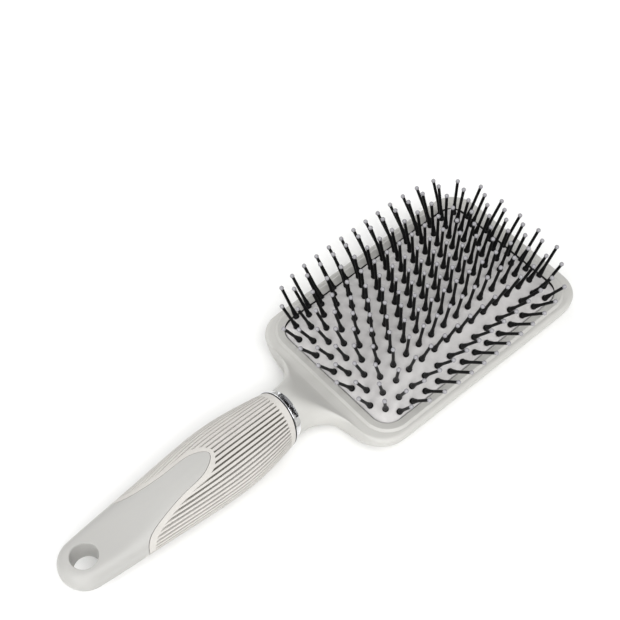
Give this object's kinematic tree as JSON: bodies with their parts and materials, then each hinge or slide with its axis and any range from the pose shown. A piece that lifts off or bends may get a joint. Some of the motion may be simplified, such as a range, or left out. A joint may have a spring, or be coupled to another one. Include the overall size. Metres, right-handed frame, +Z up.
{
  "type": "paddle hair brush",
  "caption": "Rectangular paddle hair brush with a domed air cushion, staggered rows of ball-tipped pins, a ribbed grip, a chrome ring and a hanging hole.",
  "frame": {"origin": "centre of the bounding box's bottom face, on the surface that the brush lies on", "axes": "+X from the handle's tail to the head, +Y across the brush, +Z up, the way the pins point"},
  "size_m": [0.244, 0.0862, 0.0399],
  "materials": {
    "body_plastic": "satin soft-touch",
    "frame_plastic": "satin soft-touch",
    "cushion_rubber": "matt",
    "chrome": "mirror",
    "groove_rubber": "matt",
    "grip_rubber": "matt",
    "pin_nylon": "satin moulded",
    "tip_resin": "gloss dipped resin"
  },
  "bodies": {
    "brush": {"paddle_body": "body_plastic", "cushion_frame": "frame_plastic", "chrome_ring": "chrome", "handle_core": "body_plastic", "grip_liner": "groove_rubber", "grip_sleeve": "grip_rubber"},
    "cushion": {"cushion": "cushion_rubber"},
    "row_01": {"pin_row_01": "pin_nylon", "tip_row_01": "tip_resin"},
    "row_02": {"pin_row_02": "pin_nylon", "tip_row_02": "tip_resin"},
    "row_03": {"pin_row_03": "pin_nylon", "tip_row_03": "tip_resin"},
    "row_04": {"pin_row_04": "pin_nylon", "tip_row_04": "tip_resin"},
    "row_05": {"pin_row_05": "pin_nylon", "tip_row_05": "tip_resin"},
    "row_06": {"pin_row_06": "pin_nylon", "tip_row_06": "tip_resin"},
    "row_07": {"pin_row_07": "pin_nylon", "tip_row_07": "tip_resin"},
    "row_08": {"pin_row_08": "pin_nylon", "tip_row_08": "tip_resin"},
    "row_09": {"pin_row_09": "pin_nylon", "tip_row_09": "tip_resin"},
    "row_10": {"pin_row_10": "pin_nylon", "tip_row_10": "tip_resin"},
    "row_11": {"pin_row_11": "pin_nylon", "tip_row_11": "tip_resin"},
    "row_12": {"pin_row_12": "pin_nylon", "tip_row_12": "tip_resin"},
    "row_13": {"pin_row_13": "pin_nylon", "tip_row_13": "tip_resin"}
  },
  "joints": [
    {"name": "cushion_press", "type": "slide", "parent": "brush", "child": "cushion", "axis": [0, 0, -1], "range_m": [0, 0.001], "stiffness_N_per_m": 4000, "deforming": ["cushion"]},
    {"name": "row_01_rock", "type": "hinge", "parent": "cushion", "child": "row_01", "pos_m": [0.06285, -0.03076, 0.01484], "axis": [1, 0, 0], "range_deg": [-10, 10], "stiffness_Nm_per_rad": 0.3},
    {"name": "row_02_rock", "type": "hinge", "parent": "cushion", "child": "row_02", "pos_m": [0.06285, -0.02669, 0.01715], "axis": [1, 0, 0], "range_deg": [-10, 10], "stiffness_Nm_per_rad": 0.3},
    {"name": "row_03_rock", "type": "hinge", "parent": "cushion", "child": "row_03", "pos_m": [0.06285, -0.02135, 0.01862], "axis": [1, 0, 0], "range_deg": [-10, 10], "stiffness_Nm_per_rad": 0.3},
    {"name": "row_04_rock", "type": "hinge", "parent": "cushion", "child": "row_04", "pos_m": [0.06285, -0.01601, 0.01989], "axis": [1, 0, 0], "range_deg": [-10, 10], "stiffness_Nm_per_rad": 0.3},
    {"name": "row_05_rock", "type": "hinge", "parent": "cushion", "child": "row_05", "pos_m": [0.06285, -0.01068, 0.01975], "axis": [1, 0, 0], "range_deg": [-10, 10], "stiffness_Nm_per_rad": 0.3},
    {"name": "row_06_rock", "type": "hinge", "parent": "cushion", "child": "row_06", "pos_m": [0.06285, -0.00534, 0.02029], "axis": [1, 0, 0], "range_deg": [-10, 10], "stiffness_Nm_per_rad": 0.3},
    {"name": "row_07_rock", "type": "hinge", "parent": "cushion", "child": "row_07", "pos_m": [0.06285, 0, 0.01983], "axis": [1, 0, 0], "range_deg": [-10, 10], "stiffness_Nm_per_rad": 0.3},
    {"name": "row_08_rock", "type": "hinge", "parent": "cushion", "child": "row_08", "pos_m": [0.06285, 0.00534, 0.02029], "axis": [1, 0, 0], "range_deg": [-10, 10], "stiffness_Nm_per_rad": 0.3},
    {"name": "row_09_rock", "type": "hinge", "parent": "cushion", "child": "row_09", "pos_m": [0.06285, 0.01068, 0.01975], "axis": [1, 0, 0], "range_deg": [-10, 10], "stiffness_Nm_per_rad": 0.3},
    {"name": "row_10_rock", "type": "hinge", "parent": "cushion", "child": "row_10", "pos_m": [0.06285, 0.01601, 0.01989], "axis": [1, 0, 0], "range_deg": [-10, 10], "stiffness_Nm_per_rad": 0.3},
    {"name": "row_11_rock", "type": "hinge", "parent": "cushion", "child": "row_11", "pos_m": [0.06285, 0.02135, 0.01862], "axis": [1, 0, 0], "range_deg": [-10, 10], "stiffness_Nm_per_rad": 0.3},
    {"name": "row_12_rock", "type": "hinge", "parent": "cushion", "child": "row_12", "pos_m": [0.06285, 0.02669, 0.01715], "axis": [1, 0, 0], "range_deg": [-10, 10], "stiffness_Nm_per_rad": 0.3},
    {"name": "row_13_rock", "type": "hinge", "parent": "cushion", "child": "row_13", "pos_m": [0.06285, 0.03076, 0.01484], "axis": [1, 0, 0], "range_deg": [-10, 10], "stiffness_Nm_per_rad": 0.3}
  ]
}
